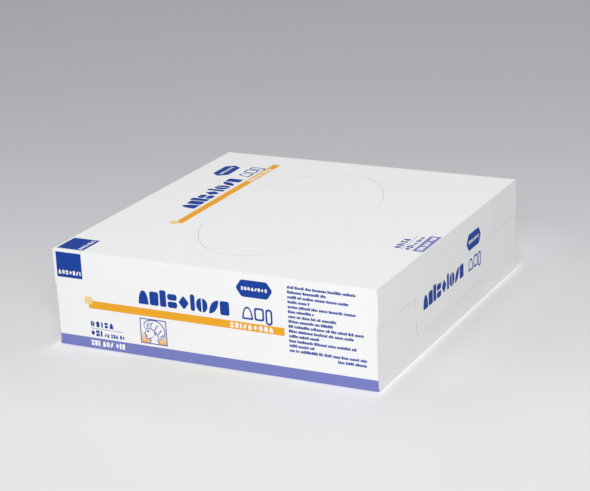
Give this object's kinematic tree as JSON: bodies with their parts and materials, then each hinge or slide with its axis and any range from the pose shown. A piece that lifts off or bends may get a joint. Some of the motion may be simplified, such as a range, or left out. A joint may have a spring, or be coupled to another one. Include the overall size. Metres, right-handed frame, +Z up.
{
  "type": "disposable cap dispenser carton",
  "caption": "Flat white folding-board dispenser carton with a tear-out oval in its top, hinged end flaps and a stack of gathered nonwoven caps inside.",
  "frame": {"origin": "centre of the carton's base, on the surface it stands on", "axes": "+X towards the right end as seen from the printed front, +Y towards the back, +Z up; the printed front faces -Y"},
  "size_m": [0.265, 0.275, 0.076],
  "materials": {
    "board": "coated white folding board, satin outside and matte inside",
    "glue": "pressed hot-melt glue",
    "nonwoven": "white spunbonded nonwoven with point bonding",
    "elastic": "covered elastic thread, white"
  },
  "bodies": {
    "carton": {"top_panel": "board", "bottom_panel": "board", "front_panel": "board", "back_panel": "board", "glue_flap": "board", "seam_glue": "glue", "caps": "nonwoven", "cap_elastics": "elastic", "top_cap": "nonwoven", "top_cap_elastic": "elastic"},
    "tear_out": {"tear_out_panel": "board"},
    "right_upper_flap": {"right_upper_flap": "board"},
    "right_tongue": {"right_tongue": "board"},
    "right_lower_flap": {"right_lower_flap": "board", "right_glue_spots": "glue"},
    "right_front_dust_flap": {"right_front_dust_flap": "board"},
    "right_back_dust_flap": {"right_back_dust_flap": "board"},
    "left_upper_flap": {"left_upper_flap": "board"},
    "left_tongue": {"left_tongue": "board"},
    "left_lower_flap": {"left_lower_flap": "board", "left_glue_spots": "glue"},
    "left_front_dust_flap": {"left_front_dust_flap": "board"},
    "left_back_dust_flap": {"left_back_dust_flap": "board"}
  },
  "joints": [
    {"name": "tear_out_lift", "type": "slide", "parent": "carton", "child": "tear_out", "axis": [0, 0, 1], "range_m": [0, 0.12]},
    {"name": "right_upper_fold", "type": "hinge", "parent": "carton", "child": "right_upper_flap", "pos_m": [0.132, 0, 0.076], "axis": [0, -1, 0], "range_deg": [0, 180]},
    {"name": "right_tongue_fold", "type": "hinge", "parent": "right_upper_flap", "child": "right_tongue", "pos_m": [0.1325, 0, 0.04666], "axis": [0, -1, 0], "range_deg": [0, 150]},
    {"name": "right_lower_fold", "type": "hinge", "parent": "carton", "child": "right_lower_flap", "pos_m": [0.13185, 0, 0.0005], "axis": [0, 1, 0], "range_deg": [0, 90]},
    {"name": "right_front_dust_fold", "type": "hinge", "parent": "carton", "child": "right_front_dust_flap", "pos_m": [0.1307, -0.1375, 0.038], "axis": [0, 0, -1], "range_deg": [0, 90]},
    {"name": "right_back_dust_fold", "type": "hinge", "parent": "carton", "child": "right_back_dust_flap", "pos_m": [0.1307, 0.1375, 0.038], "axis": [0, 0, 1], "range_deg": [0, 90]},
    {"name": "left_upper_fold", "type": "hinge", "parent": "carton", "child": "left_upper_flap", "pos_m": [-0.132, 0, 0.076], "axis": [0, 1, 0], "range_deg": [0, 180]},
    {"name": "left_tongue_fold", "type": "hinge", "parent": "left_upper_flap", "child": "left_tongue", "pos_m": [-0.1325, 0, 0.04666], "axis": [0, 1, 0], "range_deg": [0, 150]},
    {"name": "left_lower_fold", "type": "hinge", "parent": "carton", "child": "left_lower_flap", "pos_m": [-0.13185, 0, 0.0005], "axis": [0, -1, 0], "range_deg": [0, 90]},
    {"name": "left_front_dust_fold", "type": "hinge", "parent": "carton", "child": "left_front_dust_flap", "pos_m": [-0.1307, -0.1375, 0.038], "axis": [0, 0, 1], "range_deg": [0, 90]},
    {"name": "left_back_dust_fold", "type": "hinge", "parent": "carton", "child": "left_back_dust_flap", "pos_m": [-0.1307, 0.1375, 0.038], "axis": [0, 0, -1], "range_deg": [0, 90]}
  ],
  "couplings": [
    {"joint": "right_lower_fold", "follows": "right_upper_fold", "ratio": 0.5},
    {"joint": "right_front_dust_fold", "follows": "right_upper_fold", "ratio": 0.5},
    {"joint": "right_back_dust_fold", "follows": "right_upper_fold", "ratio": 0.5},
    {"joint": "left_lower_fold", "follows": "left_upper_fold", "ratio": 0.5},
    {"joint": "left_front_dust_fold", "follows": "left_upper_fold", "ratio": 0.5},
    {"joint": "left_back_dust_fold", "follows": "left_upper_fold", "ratio": 0.5}
  ]
}
